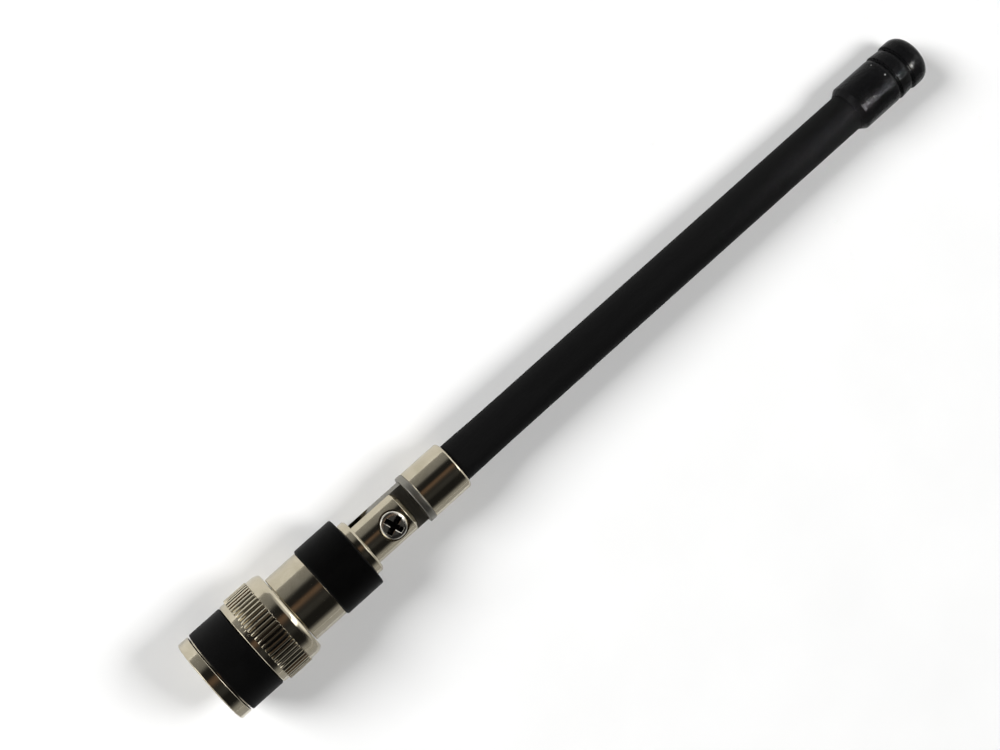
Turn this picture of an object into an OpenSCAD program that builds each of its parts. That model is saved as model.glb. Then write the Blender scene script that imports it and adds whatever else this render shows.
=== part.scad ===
// UHF whip antenna: bayonet plug, insulated base, folding knuckle and rubber whip.
// Z runs along the antenna. It is zero on the gasket's face, where the mating socket's rim seats.
// The plug reaches down from there, and the whip stands up. The pivot screw's head faces -Y.

/* [Coupling nut] */
// How far the nut's front stands past the seat
nut_reach = 8.6; // [8.4:0.1:9.4]
// Length of the nut
nut_len = 14.9; // [14.7:0.1:17]
// Bore that takes the mating socket's barrel
nut_bore_d = 9.86; // [9.8:0.02:10.2]
// Diameter of the smooth front ring
nut_ring_d = 13.7; // [13.4:0.1:13.8]
// Length of the smooth front ring
nut_ring_len = 1.85; // [1.2:0.05:1.95]
// Bevel on the ring's edges
nut_ring_bevel = 0.15; // [0.1:0.05:0.3]
// Length of the smooth rim between the band and the knurl
rim_len = 1.1; // [0.6:0.1:1.2]
// Diameter of the smooth rim
rim_d = 13.9; // [13.7:0.05:13.9]
// Bevel on the rim's front edge
rim_bevel = 0.25; // [0.1:0.05:0.4]
// Diameter over the knurl
knurl_d = 14.5; // [14.3:0.1:15]
// Depth of the knurl
knurl_depth = 0.27; // [0.15:0.02:0.29]
// Length of the knurl
knurl_len = 4; // [3:0.1:4.2]
// Ridges round the knurl
knurl_ridges = 60; // [40:2:72]
// Width of the flat on top of a ridge
knurl_land = 0.3; // [0.1:0.05:0.4]
// Diameter of the smooth tail behind the knurl
nut_tail_d = 14.15; // [13.8:0.05:14.25]
// Length of the tail's tapered end
tail_taper_len = 1; // [0.8:0.05:1.2]
// How much the tail's radius shrinks along its taper
tail_taper = 0.15; // [0.05:0.05:0.25]
// Rounding of the tail's rear edge
tail_round = 0.4; // [0.2:0.05:0.5]

/* [Bayonet tracks] */
// Diameter that the mating studs reach
track_d = 11.3; // [11.2:0.05:11.6]
// Width of a track
track_w = 2.2; // [2.1:0.05:2.4]
// From the mating socket's rim back to its studs
stud_back = 5.2; // [5:0.05:5.4]
// How deep the straight lead-in goes
track_lead = 1.9; // [1.6:0.1:2.2]
// Turn from the lead-in to the resting place of a stud
track_turn = 88; // [80:1:90]
// Last part of that turn, where the track drops back
track_drop_turn = 9; // [7:1:12]
// How far a stud drops back into its resting place
track_drop = 0.35; // [0.2:0.05:0.5]

/* [Nut band] */
// Diameter of the band
band_d = 13.8; // [13.6:0.05:14]
// Wall of the band
band_wall = 0.65; // [0.5:0.05:0.7]
// Length of the band
band_len = 5.5; // [5.2:0.1:5.8]
// Bevel on the band's edges
band_bevel = 0.15; // [0.05:0.05:0.3]
// Gap between the front ring and the band
band_gap = 0.25; // [0.1:0.05:0.5]

/* [Plug] */
// Diameter of the slotted outer contact
contact_d = 8.06; // [8:0.01:8.1]
// Bore of the outer contact
contact_bore_d = 7; // [6.8:0.05:7.2]
// How far the outer contact stands past the seat
contact_len = 5.3; // [5:0.1:5.6]
// Bevel on the outer contact's tip
contact_bevel = 0.15; // [0.05:0.05:0.3]
// Spring slots in the outer contact
contact_slots = 4; // [3:1:6]
// Width of a spring slot
contact_slot_w = 0.4; // [0.3:0.05:0.6]
// Length of a spring slot
contact_slot_len = 4.2; // [3:0.1:4.6]
// Diameter of the pin
pin_d = 1.35; // [1.3:0.01:1.4]
// Rounding of the pin's tip
pin_round = 0.3; // [0.2:0.05:0.3]
// How far the pin's tip stays behind the outer contact's tip
pin_back = 0.4; // [0.2:0.1:0.8]
// Diameter of the pin's root in the dielectric
pin_root_d = 2; // [1.9:0.05:2.4]
// Diameter of the dielectric
dielectric_d = 6; // [5.6:0.1:6.4]
// Thickness of the gasket
gasket_len = 0.8; // [0.6:0.05:1]
// Diameter that the gasket sits on
gasket_seat_d = 7.2; // [7:0.05:7.4]
// Outer diameter of the gasket
gasket_d = 9.5; // [9.2:0.05:9.6]
// Diameter of the body's flange
flange_d = 9.6; // [9.4:0.05:9.7]
// Thickness of the body's flange
flange_len = 1.2; // [1:0.05:1.4]
// Diameter of the body's neck, which the nut turns on
neck_d = 8; // [7.8:0.05:8.2]
// Length of the neck that screws into the shell
thread_len = 2.6; // [2.2:0.1:3]

/* [Nut spring] */
// Diameter of the washers
washer_d = 9.5; // [9.3:0.05:9.6]
// Thickness of the flat thrust washer
thrust_t = 0.3; // [0.2:0.05:0.4]
// Thickness of the wave washer
wave_t = 0.2; // [0.15:0.05:0.3]
// Free height of the wave washer
wave_h = 1.1; // [0.9:0.05:1.3]
// Waves round the wave washer
wave_count = 3; // [3:1:4]

/* [Base] */
// Diameter of the shell behind the nut
shell_d = 11.25; // [11:0.05:11.5]
// Length of the shell
shell_len = 5.6; // [5.2:0.1:7]
// Bevel on the shell's edges
shell_bevel = 0.15; // [0.05:0.05:0.3]
// Diameter of the black insulator
insulator_d = 11.75; // [11.4:0.05:12]
// Length of the black insulator
insulator_len = 6.8; // [6:0.1:8]
// Rounding of the insulator's edges
insulator_round = 0.3; // [0.1:0.05:0.5]
// Diameter of the insulator's spigot in the shell
spigot_d = 9.3; // [9:0.05:9.6]
// Diameter of the fork's stud through the insulator
stud_d = 3; // [2.8:0.1:3.4]
// Diameter of the stud's tip in the pin's socket
stud_tip_d = 1.2; // [1:0.05:1.3]
// Length of the stud's tip
stud_tip_len = 3; // [2.6:0.1:3.6]

/* [Knuckle] */
// Diameter of the collar
collar_d = 9; // [8.6:0.1:9.6]
// Length of the collar
collar_len = 1.35; // [1.1:0.05:1.8]
// Bevel on the collar's upper edge
collar_bevel = 0.3; // [0.1:0.05:0.4]
// Diameter of the fork and of the tongue
fork_d = 7; // [6.8:0.05:7.2]
// From the slot's floor up to the pivot
pivot_rise = 4.85; // [4.6:0.05:5.6]
// From the pivot up to the prongs' tips
prong_above = 2.95; // [2.7:0.05:3.2]
// Bevel on the prongs' tips
prong_bevel = 0.55; // [0.3:0.05:0.7]
// Thickness of the tongue
tongue_t = 2; // [1.8:0.05:2.2]
// Room left between the prongs' corners and the shoulder as the knuckle folds
swing_gap = 0.03; // [0.03:0.01:0.4]
// Diameter of the shoulder above the tongue
shoulder_d = 8.05; // [7.8:0.05:8.4]
// Length of the shoulder
shoulder_len = 1.05; // [0.8:0.05:1.4]

/* [Pivot screw] */
// Diameter of the screw's shank
screw_d = 2.5; // [2.3:0.1:2.7]
// Diameter of the screw's head
head_d = 4.2; // [4:0.05:4.4]
// Height of the screw's head
head_len = 1.4; // [1.2:0.05:1.5]
// How far the head lies below the top of the fork's round
head_sink = 0.2; // [0.1:0.05:0.3]
// Gap round the head in its counterbore
head_gap = 0.22; // [0.1:0.02:0.3]
// Rounding of the head's edge
head_round = 0.4; // [0.1:0.05:0.5]
// Span of the cross recess
cross_span = 3.1; // [2:0.1:3.2]
// Width of a wing of the cross recess
cross_w = 0.8; // [0.5:0.05:0.9]
// Depth of the cross recess
cross_depth = 0.9; // [0.6:0.05:1]
// Turn of the cross recess from the antenna's axis towards -X
cross_turn = 20; // [0:5:85]
// How far the shank's end stays inside the rear prong
screw_end_sink = 0.3; // [0.1:0.05:0.6]

/* [Whip] */
// Diameter of the ferrule
ferrule_d = 8; // [7.8:0.05:8.4]
// Length of the ferrule
ferrule_len = 6.8; // [6:0.1:8]
// Rounding of the ferrule's upper edge
ferrule_round = 0.45; // [0.2:0.05:0.6]
// Bevel on the ferrule's lower edge and on the shoulder
seam_bevel = 0.1; // [0.05:0.05:0.2]
// Length of the stem that stands in the ferrule
stem_len = 2.4; // [2:0.1:3]
// How deep the wire goes into the stem
wire_seat = 2; // [1.6:0.1:3]
// Diameter of the radiator wire
wire_d = 1.2; // [0.8:0.05:1.6]
// Diameter of the sheath
sheath_d = 6.15; // [5.9:0.05:6.25]
// Diameter of the sheath where it leaves the ferrule
sheath_root_d = 6.35; // [6.25:0.05:6.5]
// Length over which the sheath slims down
sheath_swell_len = 9; // [4:0.5:14]
// Length of sheath between the ferrule and the cap
sheath_free_len = 80; // [60:1:120]

/* [End cap] */
// Diameter of the cap's long part
cap_d = 7.7; // [7.4:0.05:7.8]
// Diameter of the cap's middle part at its foot
cap_mid_d = 7.85; // [7.6:0.05:7.9]
// How much the radius of the cap's middle part shrinks upwards
cap_mid_taper = 0.15; // [0.05:0.05:0.2]
// Diameter of the cap's short part at its end
cap_end_d = 7.95; // [7.8:0.05:8.1]
// Length of the cap
cap_len = 13.9; // [13:0.1:16]
// Length of the cap's sloping foot
cap_foot_len = 0.9; // [0.6:0.05:1.2]
// Wall of the cap's foot at the sheath
cap_foot_wall = 0.15; // [0.1:0.05:0.3]
// From the cap's end back to the upper groove's lip
groove_back = 3.2; // [2.9:0.1:3.6]
// From the upper groove down to the lower one
groove_pitch = 2.55; // [2:0.05:3]
// Width of a groove at the surface
groove_w = 0.7; // [0.5:0.05:1]
// Width of a groove's floor
groove_floor_w = 0.2; // [0.1:0.05:0.4]
// Depth of a groove below its lip
groove_depth = 0.35; // [0.25:0.05:0.45]
// Rounding of the cap's end
cap_round = 1.9; // [1.4:0.1:1.9]
// Wall at the cap's end
cap_wall = 3; // [2.6:0.1:4]

/* [Fits] */
// Radial gap of a fixed fit
fit_gap = 0.02; // [0.01:0.005:0.03]
// Radial gap of a turning fit
running_gap = 0.05; // [0.03:0.01:0.08]
// Gap between flat faces that slide on each other
slip_gap = 0.03; // [0.02:0.01:0.05]
// Gap between the nut and the shell behind it
nut_play = 0.12; // [0.08:0.02:0.2]
// Room between pieces that don't touch inside the base
base_gap = 0.15; // [0.1:0.05:0.3]

/* [Hidden] */
$fn = 96;
cut = 1;
wave_steps = 24;

// Nut, from its front
nut_front = -nut_reach;
ring_z1 = nut_front + nut_ring_len;
nut_rear = nut_front + nut_len;
band_z0 = ring_z1 + band_gap;
band_z1 = band_z0 + band_len;
rim_z0 = band_z1 + slip_gap;
knurl_z0 = rim_z0 + rim_len;
knurl_z1 = knurl_z0 + knurl_len;
band_seat_d = band_d - 2 * band_wall;
knurl_root_d = knurl_d - 2 * knurl_depth;
tail_end_d = nut_tail_d - 2 * tail_taper;

// Bayonet tracks
track_rest_z = -stud_back;
track_deep_z = track_rest_z + track_drop;
track_lead_z = nut_front + track_lead;
track_mid_r = (nut_bore_d + track_d) / 4;

// Plug, from the seat up
flange_z1 = gasket_len + flange_len;
thrust_z0 = flange_z1 + wave_h;
thrust_z1 = thrust_z0 + thrust_t;
nut_lip_z0 = thrust_z1 + slip_gap;
shell_z0 = nut_rear + nut_play;
neck_z1 = shell_z0 + thread_len;
dielectric_z0 = -gasket_len / 2;
dielectric_z1 = neck_z1 - base_gap;
pin_z0 = -contact_len + pin_back;

// Base and knuckle
shell_z1 = shell_z0 + shell_len;
spigot_z0 = neck_z1 + base_gap;
collar_z0 = shell_z1 + insulator_len;
fork_z0 = collar_z0 + collar_len;
pivot_z = fork_z0 + pivot_rise;
prong_z1 = pivot_z + prong_above;
slot_w = tongue_t + 2 * slip_gap;
stud_z0 = spigot_z0 - base_gap / 2;
stud_tip_z0 = stud_z0 - stud_tip_len;

// Pivot screw, along Y
head_y = -(fork_d / 2 - head_sink);
head_floor_y = head_y + head_len;
screw_end_y = fork_d / 2 - screw_end_sink;

// Whip: the shoulder from the pivot, and the rest from the shoulder's top
shoulder_rise = norm([prong_above, fork_d / 2]) + swing_gap;
shoulder_z1 = pivot_z + shoulder_rise + shoulder_len;
wire_foot = stem_len - wire_seat;
sheath_foot = stem_len + base_gap;
sheath_top = ferrule_len + sheath_free_len + cap_len - cap_wall;
cap_z0 = shoulder_z1 + ferrule_len + sheath_free_len;

// A cylinder on Z between two heights.
module rod(d, z0, z1) {
    translate([0, 0, z0])
        cylinder(d = d, h = z1 - z0);
}

// A cylinder along Y through the origin, between two places on Y.
module cross_rod(d, y0, y1) {
    translate([0, y0, 0])
        rotate([-90, 0, 0])
            cylinder(d = d, h = y1 - y0);
}

// The two steps of an outline at a bevelled lower edge, and at a bevelled upper one.
function lower_edge(d, z, bevel) = [[d - 2 * bevel, z], [d, z + bevel]];
function upper_edge(d, z, bevel) = [[d, z - bevel], [d - 2 * bevel, z]];

// Half the outline of a turned piece: steps of [diameter, height] from its foot up, closed on the axis.
module turned_outline(steps) {
    polygon([
        [0, steps[0][1]],
        for (step = steps) [step[0] / 2, step[1]],
        [0, steps[len(steps) - 1][1]]
    ]);
}

// Swells a bevelled edge of an outline to an arc, on an upper edge (side 1) or a lower one (side -1).
module rounded_edge(d, z, rounding, side) {
    translate([d / 2 - rounding, z - side * rounding])
        circle(r = rounding);
}

// A turned piece with straight outlines.
module turned(steps) {
    rotate_extrude()
        turned_outline(steps);
}

// Cross-section of the straight knurl: flat-topped ridges.
module knurl_outline() {
    pitch = 360 / knurl_ridges;
    half_land = knurl_land / (PI * knurl_d) * 180;
    polygon([
        for (i = [0 : knurl_ridges - 1], corner = [0 : 2])
            let (
                turn = i * pitch + [-half_land, half_land, pitch / 2][corner],
                r = [knurl_d, knurl_d, knurl_root_d][corner] / 2
            )
            [r * cos(turn), r * sin(turn)]
    ]);
}

// One sloping leg of a bayonet track, milled from the bore, between two turns and two heights.
module track_leg(turn0, z0, turn1, z1) {
    across = 2 * track_mid_r * sin((turn1 - turn0) / 2);
    run = norm([across, z1 - z0]);
    rotate([0, 0, (turn0 + turn1) / 2])
        translate([0, 0, (z0 + z1) / 2])
            rotate([90, 0, 90])
                linear_extrude(height = track_d)
                    rotate(atan2(z1 - z0, across)) {
                        square([run, track_w], center = true);
                        for (side = [-1, 1])
                            translate([side * run / 2, 0])
                                circle(d = track_w);
                    }
}

// A bayonet track: lead-in from the front, slope round the bore, and a resting place for the stud.
module bayonet_track() {
    slope_turn = track_turn - track_drop_turn;
    half_z = (track_lead_z + track_deep_z) / 2;
    intersection() {
        rod(track_d, nut_front - cut, nut_lip_z0);
        union() {
            translate([0, -track_w / 2, nut_front - cut])
                cube([track_d, track_w, track_lead + cut]);
            track_leg(0, track_lead_z, slope_turn / 2, half_z);
            track_leg(slope_turn / 2, half_z, slope_turn, track_deep_z);
            track_leg(slope_turn, track_deep_z, track_turn, track_rest_z);
        }
    }
}

// Turned and knurled nut of the plug, with two bayonet tracks in its bore.
module coupling_nut() {
    knurl_mid_z = (knurl_z0 + knurl_z1) / 2;
    color("silver")
        difference() {
            union() {
                turned([
                    each lower_edge(nut_ring_d, nut_front, nut_ring_bevel),
                    each upper_edge(nut_ring_d, ring_z1, nut_ring_bevel),
                    [band_seat_d, ring_z1], [band_seat_d, rim_z0],
                    each lower_edge(rim_d, rim_z0, rim_bevel), [rim_d, knurl_z0],
                    [band_seat_d, knurl_z0], [band_seat_d, knurl_mid_z]
                ]);
                translate([0, 0, knurl_z0])
                    linear_extrude(height = knurl_len)
                        knurl_outline();
                rotate_extrude() {
                    turned_outline([
                        [band_seat_d, knurl_mid_z], [band_seat_d, knurl_z1],
                        [nut_tail_d, knurl_z1], [nut_tail_d, nut_rear - tail_taper_len],
                        each upper_edge(tail_end_d, nut_rear, tail_round)
                    ]);
                    rounded_edge(tail_end_d, nut_rear, tail_round, 1);
                }
            }
            rod(nut_bore_d, nut_front - cut, nut_lip_z0);
            rod(neck_d + 2 * running_gap, nut_front, nut_rear + cut);
            for (turn = [0, 180])
                rotate([0, 0, turn])
                    bayonet_track();
        }
}

// Black sleeve over the nut's middle.
module nut_band() {
    color([0.06, 0.06, 0.06])
        difference() {
            turned([
                each lower_edge(band_d, band_z0, band_bevel),
                each upper_edge(band_d, band_z1, band_bevel)
            ]);
            rod(band_seat_d + 2 * fit_gap, band_z0 - cut, band_z1 + cut);
        }
}

// Flat washer that the nut turns on.
module thrust_washer() {
    color("gainsboro")
        difference() {
            rod(washer_d, thrust_z0, thrust_z1);
            rod(neck_d + 2 * running_gap, thrust_z0 - cut, thrust_z1 + cut);
        }
}

// Height of the wave washer's lower surface, from its lowest place.
function wave_lift(turn) = (wave_h - wave_t - slip_gap) / 2 * (1 + sin(wave_count * turn));

// Wavy spring washer between the body's flange and the thrust washer.
module wave_washer() {
    steps = wave_steps * wave_count;
    inner_r = neck_d / 2 + running_gap;
    outer_r = washer_d / 2;
    section = [[inner_r, 0], [outer_r, 0], [outer_r, wave_t], [inner_r, wave_t]];
    ring_points = [
        for (i = [0 : steps - 1], corner = section)
            let (turn = 360 * i / steps)
            [corner.x * cos(turn), corner.x * sin(turn), flange_z1 + corner.y + wave_lift(turn)]
    ];
    ring_faces = [
        for (i = [0 : steps - 1], side = [0 : 3])
            let (here = 4 * i, next = 4 * ((i + 1) % steps), turned = (side + 1) % 4)
            each [
                [here + side, here + turned, next + turned],
                [here + side, next + turned, next + side]
            ]
    ];
    color("gainsboro")
        polyhedron(points = ring_points, faces = ring_faces);
}

// Inner body of the plug: slotted outer contact, gasket seat, flange, and neck that screws into the shell.
module plug_body() {
    color("silver")
        difference() {
            turned([
                each lower_edge(contact_d, -contact_len, contact_bevel), [contact_d, 0],
                [gasket_seat_d, 0], [gasket_seat_d, gasket_len],
                [flange_d, gasket_len], [flange_d, flange_z1],
                [neck_d, flange_z1], [neck_d, neck_z1]
            ]);
            rod(contact_bore_d, -contact_len - cut, dielectric_z0);
            rod(dielectric_d + 2 * fit_gap, -contact_len, neck_z1 + cut);
            for (i = [0 : contact_slots - 1])
                rotate([0, 0, 360 / contact_slots * (i + 0.5)])
                    translate([0, -contact_slot_w / 2, -contact_len - cut])
                        cube([contact_d, contact_slot_w, contact_slot_len + cut]);
        }
}

// Soft ring that the mating socket's rim presses on.
module gasket() {
    color([0.75, 0.35, 0.2])
        difference() {
            rod(gasket_d, 0, gasket_len);
            rod(gasket_seat_d + 2 * fit_gap, -cut, gasket_len + cut);
        }
}

// White insulator round the pin.
module dielectric() {
    color("white")
        difference() {
            rod(dielectric_d, dielectric_z0, dielectric_z1);
            rod(pin_root_d + 2 * fit_gap, dielectric_z0 - cut, dielectric_z1 + cut);
        }
}

// Pin of the plug, round-tipped, with a socket behind for the fork's stud.
module centre_contact() {
    color("gold")
        difference() {
            rotate_extrude() {
                turned_outline([
                    each lower_edge(pin_d, pin_z0, pin_round), [pin_d, dielectric_z0],
                    [pin_root_d, dielectric_z0], [pin_root_d, dielectric_z1]
                ]);
                rounded_edge(pin_d, pin_z0, pin_round, -1);
            }
            rod(stud_tip_d + 2 * fit_gap, stud_tip_z0 - base_gap, dielectric_z1 + cut);
        }
}

// Plain plated cylinder behind the nut, screwed on the neck.
module base_shell() {
    color("silver")
        difference() {
            turned([
                each lower_edge(shell_d, shell_z0, shell_bevel),
                each upper_edge(shell_d, shell_z1, shell_bevel)
            ]);
            rod(neck_d + 2 * fit_gap, shell_z0 - cut, shell_z1);
            rod(spigot_d + 2 * fit_gap, neck_z1, shell_z1 + cut);
        }
}

// Black insulator: a ring with rounded edges, and a spigot pressed into the shell.
module base_insulator() {
    color([0.05, 0.05, 0.05])
        difference() {
            rotate_extrude() {
                turned_outline([
                    [spigot_d, spigot_z0], [spigot_d, shell_z1],
                    each lower_edge(insulator_d, shell_z1, insulator_round),
                    each upper_edge(insulator_d, collar_z0, insulator_round)
                ]);
                rounded_edge(insulator_d, shell_z1, insulator_round, -1);
                rounded_edge(insulator_d, collar_z0, insulator_round, 1);
            }
            rod(stud_d + 2 * fit_gap, spigot_z0 - cut, collar_z0 + cut);
        }
}

// Collar, two prongs and a stud, turned in one piece, slotted for the tongue and drilled for the screw.
module fork() {
    color("silver")
        difference() {
            turned([
                [stud_tip_d, stud_tip_z0], [stud_tip_d, stud_z0],
                [stud_d, stud_z0], [stud_d, collar_z0],
                [collar_d, collar_z0], each upper_edge(collar_d, fork_z0, collar_bevel),
                [fork_d, fork_z0], each upper_edge(fork_d, prong_z1, prong_bevel)
            ]);
            translate([-fork_d, -slot_w / 2, fork_z0])
                cube([2 * fork_d, slot_w, prong_z1 - fork_z0 + cut]);
            translate([0, 0, pivot_z]) {
                cross_rod(screw_d + 2 * fit_gap, -fork_d, fork_d);
                cross_rod(head_d + 2 * head_gap, -fork_d, head_floor_y);
            }
        }
}

// Cross-recessed screw that the knuckle turns on, turned in one piece with its head towards -Y.
module pivot_screw() {
    color("silver")
        translate([0, 0, pivot_z])
            difference() {
                rotate([90, 0, 0])
                    rotate_extrude() {
                        turned_outline([
                            [screw_d, -screw_end_y], [screw_d, -head_floor_y],
                            [head_d, -head_floor_y], each upper_edge(head_d, -head_y, head_round)
                        ]);
                        rounded_edge(head_d, -head_y, head_round, 1);
                    }
                for (turn = [0, 90])
                    rotate([0, turn - cross_turn, 0])
                        translate([-cross_span / 2, head_y - cut, -cross_w / 2])
                            cube([cross_span, cut + cross_depth, cross_w]);
            }
}

// Flat round-ended tongue between the prongs, with the shoulder and the stem that holds the wire.
module knuckle_tongue() {
    shoulder_top = shoulder_rise + shoulder_len;
    color("silver")
        translate([0, 0, pivot_z])
            difference() {
                union() {
                    intersection() {
                        rod(fork_d, -fork_d, shoulder_top);
                        union() {
                            cross_rod(fork_d, -tongue_t / 2, tongue_t / 2);
                            translate([-fork_d / 2, -tongue_t / 2, 0])
                                cube([fork_d, tongue_t, shoulder_rise + shoulder_len / 2]);
                        }
                    }
                    turned([
                        each lower_edge(shoulder_d, shoulder_rise, seam_bevel),
                        each upper_edge(shoulder_d, shoulder_top, seam_bevel),
                        [sheath_root_d, shoulder_top], [sheath_root_d, shoulder_top + stem_len]
                    ]);
                }
                cross_rod(screw_d + 2 * running_gap, -tongue_t, tongue_t);
                rod(wire_d + 2 * fit_gap, shoulder_top + wire_foot, shoulder_top + stem_len + cut);
            }
}

// Plated tube that grips the foot of the whip.
module ferrule() {
    color("silver")
        translate([0, 0, shoulder_z1])
            difference() {
                rotate_extrude() {
                    turned_outline([
                        each lower_edge(ferrule_d, 0, seam_bevel),
                        each upper_edge(ferrule_d, ferrule_len, ferrule_round)
                    ]);
                    rounded_edge(ferrule_d, ferrule_len, ferrule_round, 1);
                }
                rod(sheath_root_d + 2 * fit_gap, -cut, ferrule_len + cut);
            }
}

// Straight spring wire that radiates.
module radiator_wire() {
    color("gainsboro")
        translate([0, 0, shoulder_z1])
            rod(wire_d, wire_foot, sheath_top - base_gap);
}

// Rubber round the wire, a little fatter where it leaves the ferrule.
module sheath() {
    color([0.07, 0.07, 0.07])
        translate([0, 0, shoulder_z1])
            difference() {
                turned([
                    [sheath_root_d, sheath_foot], [sheath_root_d, ferrule_len],
                    [sheath_d, ferrule_len + sheath_swell_len], [sheath_d, sheath_top]
                ]);
                rod(wire_d + 2 * fit_gap, sheath_foot - cut, sheath_top + cut);
            }
}

// The steps of an outline at a moulded groove: a slope down from the part below, a floor, and a steep lip.
function groove(d_below, d_lip, z) = [
    [d_below, z - groove_w], [d_lip - 2 * groove_depth, z - groove_floor_w],
    [d_lip - 2 * groove_depth, z], [d_lip, z]
];

// Moulded rubber cap with a sloping foot, two grooves and a rounded end.
module end_cap() {
    upper_groove = cap_len - groove_back;
    color([0.06, 0.06, 0.06])
        translate([0, 0, cap_z0])
            difference() {
                rotate_extrude() {
                    turned_outline([
                        [sheath_d + 2 * cap_foot_wall, 0], [cap_d, cap_foot_len],
                        each groove(cap_d, cap_mid_d, upper_groove - groove_pitch),
                        each groove(cap_mid_d - 2 * cap_mid_taper, cap_end_d, upper_groove),
                        each upper_edge(cap_end_d, cap_len, cap_round)
                    ]);
                    rounded_edge(cap_end_d, cap_len, cap_round, 1);
                }
                rod(sheath_d + 2 * fit_gap, -cut, cap_len - cap_wall + base_gap);
            }
}

coupling_nut();
nut_band();
thrust_washer();
wave_washer();
plug_body();
gasket();
dielectric();
centre_contact();
base_shell();
base_insulator();
fork();
pivot_screw();
knuckle_tongue();
ferrule();
radiator_wire();
sheath();
end_cap();
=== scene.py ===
import math
import bpy
from mathutils import Matrix, Vector


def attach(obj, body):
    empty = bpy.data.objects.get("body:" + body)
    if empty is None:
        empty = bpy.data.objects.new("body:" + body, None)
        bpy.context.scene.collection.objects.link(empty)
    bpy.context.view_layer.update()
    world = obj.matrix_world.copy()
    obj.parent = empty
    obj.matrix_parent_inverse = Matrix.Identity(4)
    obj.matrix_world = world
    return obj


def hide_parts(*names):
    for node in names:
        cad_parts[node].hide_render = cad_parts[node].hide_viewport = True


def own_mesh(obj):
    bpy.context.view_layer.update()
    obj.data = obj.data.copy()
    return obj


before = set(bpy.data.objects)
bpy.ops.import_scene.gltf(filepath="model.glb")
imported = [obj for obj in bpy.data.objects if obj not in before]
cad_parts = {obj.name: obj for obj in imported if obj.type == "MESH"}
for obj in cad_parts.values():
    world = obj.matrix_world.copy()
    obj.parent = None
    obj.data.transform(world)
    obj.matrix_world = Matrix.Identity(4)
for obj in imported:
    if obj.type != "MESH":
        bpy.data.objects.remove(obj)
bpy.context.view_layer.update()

bpy.context.scene.view_settings.view_transform = "Standard"

# Camera: a short telephoto lens over the antenna, which runs up the picture from the lower left to the
# upper right and leans a little away, with the pivot screw's head turned a little to the right.
picture_width, lens_pixels, film_width = 1000, 1860, 36.0
sighted_height = 0.05122
sighted_point = Vector((0.003446, -0.003827, -0.2703))
whip_way = Vector((0.7379, 0.6563, -0.1576)).normalized()
screw_turn = math.radians(15)
right_of_whip = whip_way.cross(Vector((0, 0, 1))).normalized()
over_whip = right_of_whip.cross(whip_way)
screw_way = math.cos(screw_turn) * over_whip + math.sin(screw_turn) * right_of_whip
side_way = (-screw_way).cross(whip_way)
turn_to_camera = Matrix((side_way, -screw_way, whip_way)).transposed()
shift_to_camera = sighted_point - turn_to_camera @ Vector((0, 0, sighted_height))
lens = bpy.data.cameras.new("camera")
lens.sensor_fit, lens.sensor_width = "HORIZONTAL", film_width
lens.lens = lens_pixels * film_width / picture_width
lens.clip_start = 0.01
camera = bpy.data.objects.new("camera", lens)
bpy.context.scene.collection.objects.link(camera)
camera.matrix_world = (Matrix.Translation(shift_to_camera) @ turn_to_camera.to_4x4()).inverted()
bpy.context.scene.camera = camera


# Floor: a wide sheet of matt white card. The antenna lies on its knurl and on its end cap, with the
# screw's head up. From behind it is clear, so that the antenna's back can be seen too.
def add_node(tree, kind, inputs=None, **settings):
    """A shader node with its settings, and its inputs given values or joined to other nodes."""
    made = tree.nodes.new("ShaderNode" + kind)
    for name, value in settings.items():
        setattr(made, name, value)
    for name, value in (inputs or {}).items():
        if isinstance(value, bpy.types.NodeSocket):
            tree.links.new(value, made.inputs[name])
        else:
            made.inputs[name].default_value = value
    return made


def sums(tree, operation, first, second=0.0, third=0.0):
    """The result of a Math node."""
    return add_node(tree, "Math", {0: first, 1: second, 2: third}, operation=operation).outputs[0]


def shades(tree, value, stops):
    """A colour for each value, between stops of (value, brightness or colour)."""
    made = add_node(tree, "ValToRGB", {"Fac": value})
    scale = made.color_ramp.elements
    while len(scale) < len(stops):
        scale.new(1.0)
    for stop, (place, shade) in zip(scale, stops):
        stop.position = place
        stop.color = (*shade, 1) if isinstance(shade, tuple) else (shade, shade, shade, 1)
    return made.outputs["Color"]


def new_material(name):
    """A material with an empty tree, and its output node."""
    made = bpy.data.materials.new(name)
    made.use_nodes = True
    made.node_tree.nodes.clear()
    return made, made.node_tree, add_node(made.node_tree, "OutputMaterial")


floor_at_knurl, knurl_height = 0.00725, 0.002
floor_at_cap, cap_height = 0.003975, 0.1285
floor_size = 1.9
floor_slope = (floor_at_knurl - floor_at_cap) / (cap_height - knurl_height)
bpy.ops.object.select_all(action="DESELECT")
bpy.ops.mesh.primitive_plane_add(
    size=floor_size, rotation=(math.radians(90) + math.atan(floor_slope), 0, 0),
    location=(0, floor_at_knurl + floor_slope * knurl_height, 0))
floor = bpy.context.object
floor.name = "floor"
bpy.ops.object.transform_apply()
white_card, tree, output = new_material("white_card")
spot = add_node(tree, "TexCoord").outputs["Object"]
mottle = add_node(tree, "TexNoise", {"Vector": spot, "Scale": 60.0, "Detail": 3.0}).outputs["Fac"]
card = add_node(tree, "BsdfPrincipled", {
    "Base Color": shades(tree, mottle, [(0.3, (0.93, 0.93, 0.925)), (0.7, (0.955, 0.955, 0.95))]),
    "Roughness": 0.9, "Specular IOR Level": 0.1})
seen_from_behind = add_node(tree, "NewGeometry").outputs["Backfacing"]
tree.links.new(add_node(tree, "MixShader", {
    0: seen_from_behind, 1: card.outputs[0], 2: add_node(tree, "BsdfTransparent").outputs[0]}).outputs[0],
    output.inputs["Surface"])
floor.data.materials.append(white_card)

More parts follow.
